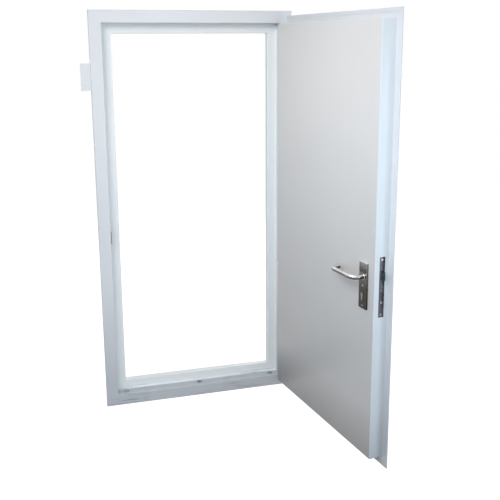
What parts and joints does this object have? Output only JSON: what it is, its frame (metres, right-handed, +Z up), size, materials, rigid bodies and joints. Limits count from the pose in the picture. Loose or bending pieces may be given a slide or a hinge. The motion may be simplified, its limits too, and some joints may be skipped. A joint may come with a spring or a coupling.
{
  "type": "marine fire door",
  "caption": "Steel marine fire door standing open in its folded rebated frame, with lap flange, mortise lock, U levers on long plates and lift-off hinges.",
  "frame": {"origin": "middle of the underside of the sill, which is the frame's lowest face", "axes": "+Z up; +X along the wall towards the hinge side; +Y into the doorway, away from the side the leaf opens to"},
  "size_m": [1.0947, 0.9402, 1.792],
  "materials": {
    "frame_paint": "semi-gloss",
    "leaf_paint": "semi-gloss",
    "stainless": "polished",
    "dark_steel": "satin",
    "zinc_steel": "zinc plated",
    "nickel": "nickel plated",
    "wool": "matte",
    "black_steel": "satin black"
  },
  "bodies": {
    "frame": {"bottom_hinge_frame_knuckle": "frame_paint", "bottom_hinge_pin": "stainless", "bottom_hinge_thrust_washer": "nickel", "dead_bolt_keep_box": "zinc_steel", "fixing_lug": "frame_paint", "frame_head": "frame_paint", "frame_hinge_jamb": "frame_paint", "frame_lock_jamb": "frame_paint", "frame_sill": "frame_paint", "latch_keep_box": "zinc_steel", "left_sill_screw": "zinc_steel", "middle_hinge_frame_knuckle": "frame_paint", "middle_hinge_pin": "stainless", "middle_hinge_thrust_washer": "nickel", "middle_sill_screw": "zinc_steel", "right_sill_screw": "zinc_steel", "strike_plate": "dark_steel", "top_hinge_frame_knuckle": "frame_paint", "top_hinge_pin": "stainless", "top_hinge_thrust_washer": "nickel"},
    "leaf": {"bottom_hinge_backing_plate": "zinc_steel", "bottom_hinge_leaf_knuckle": "leaf_paint", "cylinder_body": "nickel", "dog_pins": "zinc_steel", "faceplate_screws": "stainless", "handle_plate_inner": "stainless", "handle_plate_outer": "stainless", "leaf_inner_pan": "leaf_paint", "leaf_outer_skin": "leaf_paint", "lock_case": "zinc_steel", "lock_case_cover": "zinc_steel", "lock_faceplate": "stainless", "lock_reinforcement": "zinc_steel", "middle_hinge_backing_plate": "zinc_steel", "middle_hinge_leaf_knuckle": "leaf_paint", "mineral_wool_core": "wool", "plate_screws_inner": "stainless", "plate_screws_outer": "stainless", "top_hinge_backing_plate": "zinc_steel", "top_hinge_leaf_knuckle": "leaf_paint"},
    "lever_set": {"lever_inner": "stainless", "lever_outer": "stainless", "square_spindle": "dark_steel", "follower": "dark_steel"},
    "latch": {"latch_bolt": "black_steel"},
    "bolt": {"dead_bolt": "dark_steel"},
    "plug": {"cylinder_plug": "nickel"}
  },
  "joints": [
    {"name": "leaf_swing", "type": "hinge", "parent": "frame", "child": "leaf", "pos_m": [0.426, -0.0255, 0.896], "axis": [0, 0, 1], "range_deg": [-100, 70]},
    {"name": "lever_press", "type": "hinge", "parent": "leaf", "child": "lever_set", "pos_m": [0.51928, -0.76758, 0.789], "axis": [-0.9848, -0.1736, 0], "range_deg": [0, 40], "stiffness_Nm_per_rad": 1.5, "springref_deg": -20.05},
    {"name": "latch_slide", "type": "slide", "parent": "leaf", "child": "latch", "axis": [-0.1736, 0.9848, 0], "range_m": [0, 0.012]},
    {"name": "plug_turn", "type": "hinge", "parent": "leaf", "child": "plug", "pos_m": [0.51928, -0.76758, 0.717], "axis": [-0.9848, -0.1736, 0], "range_deg": [0, 360]},
    {"name": "bolt_throw", "type": "slide", "parent": "leaf", "child": "bolt", "axis": [0.1736, -0.9848, 0], "range_m": [0, 0.02]}
  ],
  "couplings": [
    {"joint": "latch_slide", "follows": "lever_press", "m_per_rad": 0.017188},
    {"joint": "plug_turn", "follows": "bolt_throw", "rad_per_m": 314.16}
  ]
}
